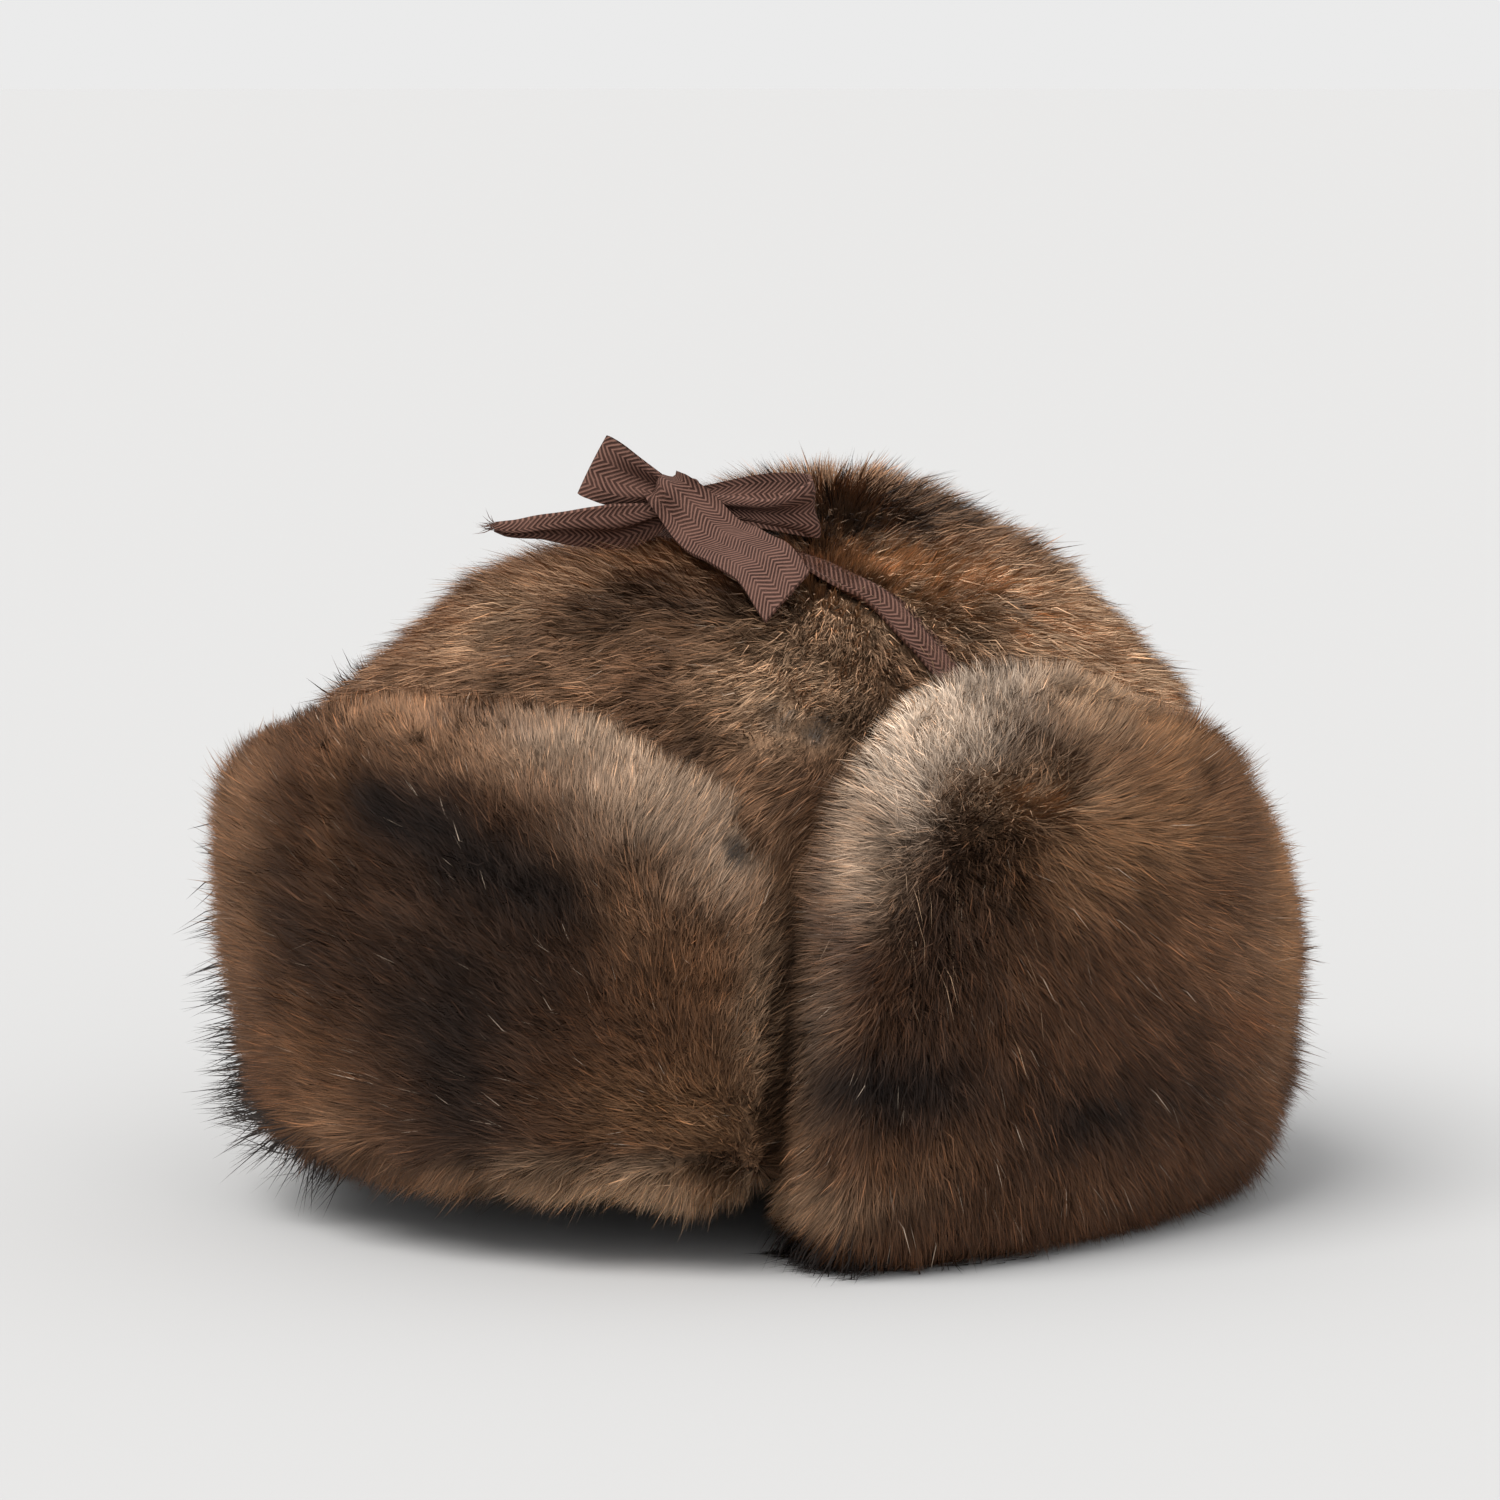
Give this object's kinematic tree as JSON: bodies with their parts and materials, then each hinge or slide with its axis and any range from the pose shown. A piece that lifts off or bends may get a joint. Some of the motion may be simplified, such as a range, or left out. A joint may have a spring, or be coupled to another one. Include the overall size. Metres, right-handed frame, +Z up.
{
  "type": "muskrat fur hat",
  "caption": "Trapper hat of long-haired fur with the front flap turned up, the ear and neck flap folded up round it, and the ear ties tied in a tape bow on top.",
  "frame": {"origin": "on the surface that the hat stands on, under the middle of the head opening, which is the middle of its bounding box", "axes": "+Z up, -Y the way the wearer looks, +X the wearer's left"},
  "size_m": [0.2649, 0.2911, 0.193],
  "materials": {
    "sueded_hide": "matte hide, flesh side",
    "crown_pelt": "long soft fur, golden brown",
    "flap_pelt": "long soft fur, dark brown with pale and black hairs",
    "herringbone_tape": "herringbone twill tape, matte"
  },
  "bodies": {
    "root": {"crown_wall": "sueded_hide", "crown_fur": "crown_pelt", "front_flap": "flap_pelt", "ear_neck_flap": "flap_pelt", "bow_knot": "herringbone_tape", "bow_loop_right": "herringbone_tape", "bow_loop_left": "herringbone_tape", "bow_tail_front": "herringbone_tape", "bow_tail_right": "herringbone_tape", "ear_tie_left": "herringbone_tape", "ear_tie_right": "herringbone_tape"}
  },
  "joints": []
}
